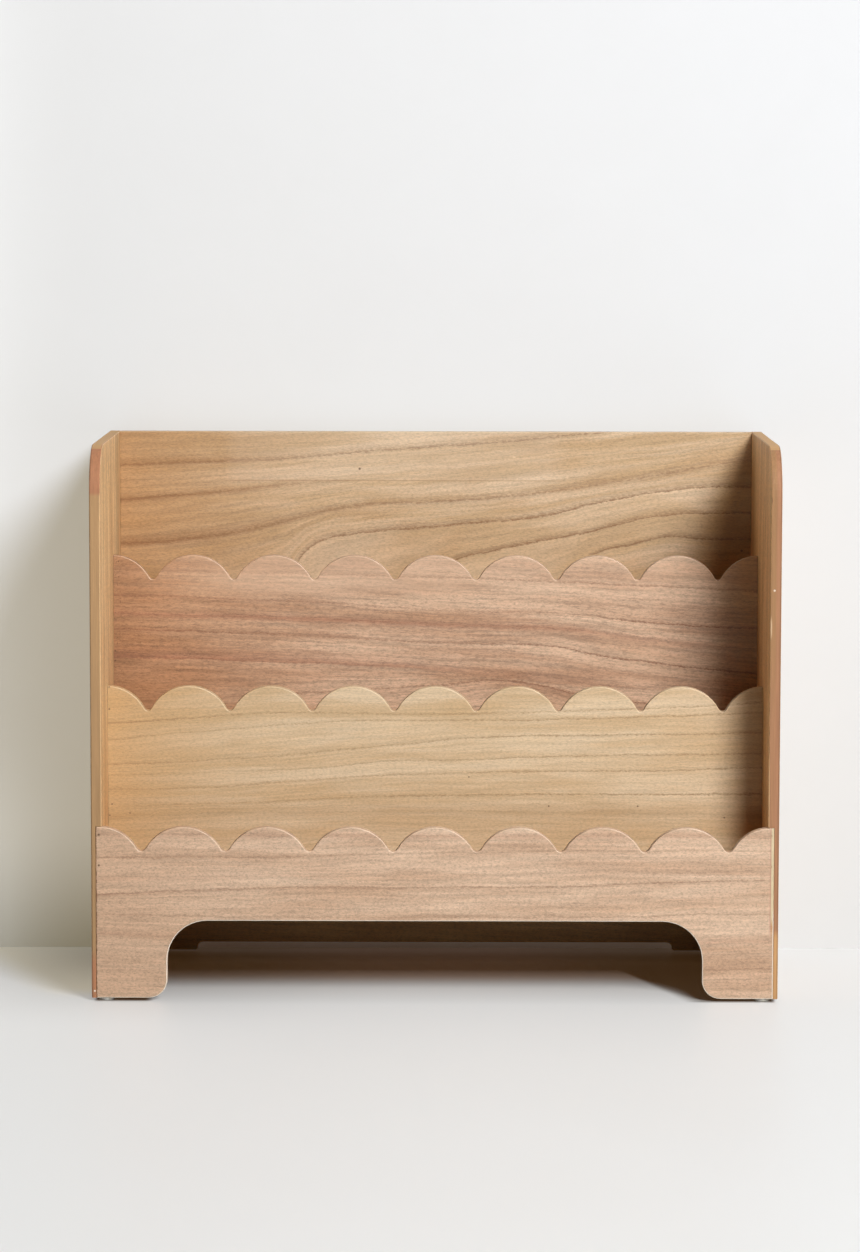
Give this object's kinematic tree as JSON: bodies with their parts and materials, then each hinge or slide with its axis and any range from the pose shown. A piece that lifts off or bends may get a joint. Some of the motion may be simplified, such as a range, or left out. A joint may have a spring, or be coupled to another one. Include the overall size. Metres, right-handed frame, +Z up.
{
  "type": "book holder",
  "caption": "Free-standing wooden rack that holds picture books upright with their covers to the front, in stepped bins behind scalloped panels.",
  "frame": {"origin": "middle of the width and of the depth, on the surface that the pads stand on", "axes": "+X along the width to the right as seen from the front, +Y to the back, +Z up"},
  "size_m": [0.6, 0.25, 0.4852],
  "materials": {
    "side_wood": "clear satin lacquer, upright grain",
    "back_wood": "clear satin lacquer, grain along the width",
    "front_wood": "clear satin lacquer, grain along the width",
    "middle_wood": "clear satin lacquer, grain along the width",
    "upper_wood": "clear satin lacquer, grain along the width",
    "floor_wood": "clear satin lacquer, grain along the width",
    "dowel_wood": "bare beech",
    "brad_steel": "dull steel head",
    "pad_rubber": "soft translucent off-white"
  },
  "bodies": {
    "root": {"left_side_panel": "side_wood", "right_side_panel": "side_wood", "back_panel": "back_wood", "front_panel": "front_wood", "middle_panel": "middle_wood", "upper_panel": "upper_wood", "front_bin_floor": "floor_wood", "middle_bin_floor": "floor_wood", "rear_bin_floor": "floor_wood", "left_dowel_front_bin_floor_1": "dowel_wood", "left_dowel_front_bin_floor_2": "dowel_wood", "left_dowel_middle_bin_floor_1": "dowel_wood", "left_dowel_middle_bin_floor_2": "dowel_wood", "left_dowel_rear_bin_floor_1": "dowel_wood", "left_dowel_rear_bin_floor_2": "dowel_wood", "left_dowel_middle_panel_1": "dowel_wood", "left_dowel_middle_panel_2": "dowel_wood", "left_dowel_upper_panel_1": "dowel_wood", "left_dowel_upper_panel_2": "dowel_wood", "left_dowel_back_panel_1": "dowel_wood", "left_dowel_back_panel_2": "dowel_wood", "left_dowel_back_panel_3": "dowel_wood", "right_dowel_front_bin_floor_1": "dowel_wood", "right_dowel_front_bin_floor_2": "dowel_wood", "right_dowel_middle_bin_floor_1": "dowel_wood", "right_dowel_middle_bin_floor_2": "dowel_wood", "right_dowel_rear_bin_floor_1": "dowel_wood", "right_dowel_rear_bin_floor_2": "dowel_wood", "right_dowel_middle_panel_1": "dowel_wood", "right_dowel_middle_panel_2": "dowel_wood", "right_dowel_upper_panel_1": "dowel_wood", "right_dowel_upper_panel_2": "dowel_wood", "right_dowel_back_panel_1": "dowel_wood", "right_dowel_back_panel_2": "dowel_wood", "right_dowel_back_panel_3": "dowel_wood", "left_brad_upper": "brad_steel", "left_brad_lower": "brad_steel", "right_brad_upper": "brad_steel", "right_brad_lower": "brad_steel", "front_left_pad": "pad_rubber", "front_right_pad": "pad_rubber", "rear_left_pad": "pad_rubber", "rear_right_pad": "pad_rubber"}
  },
  "joints": []
}
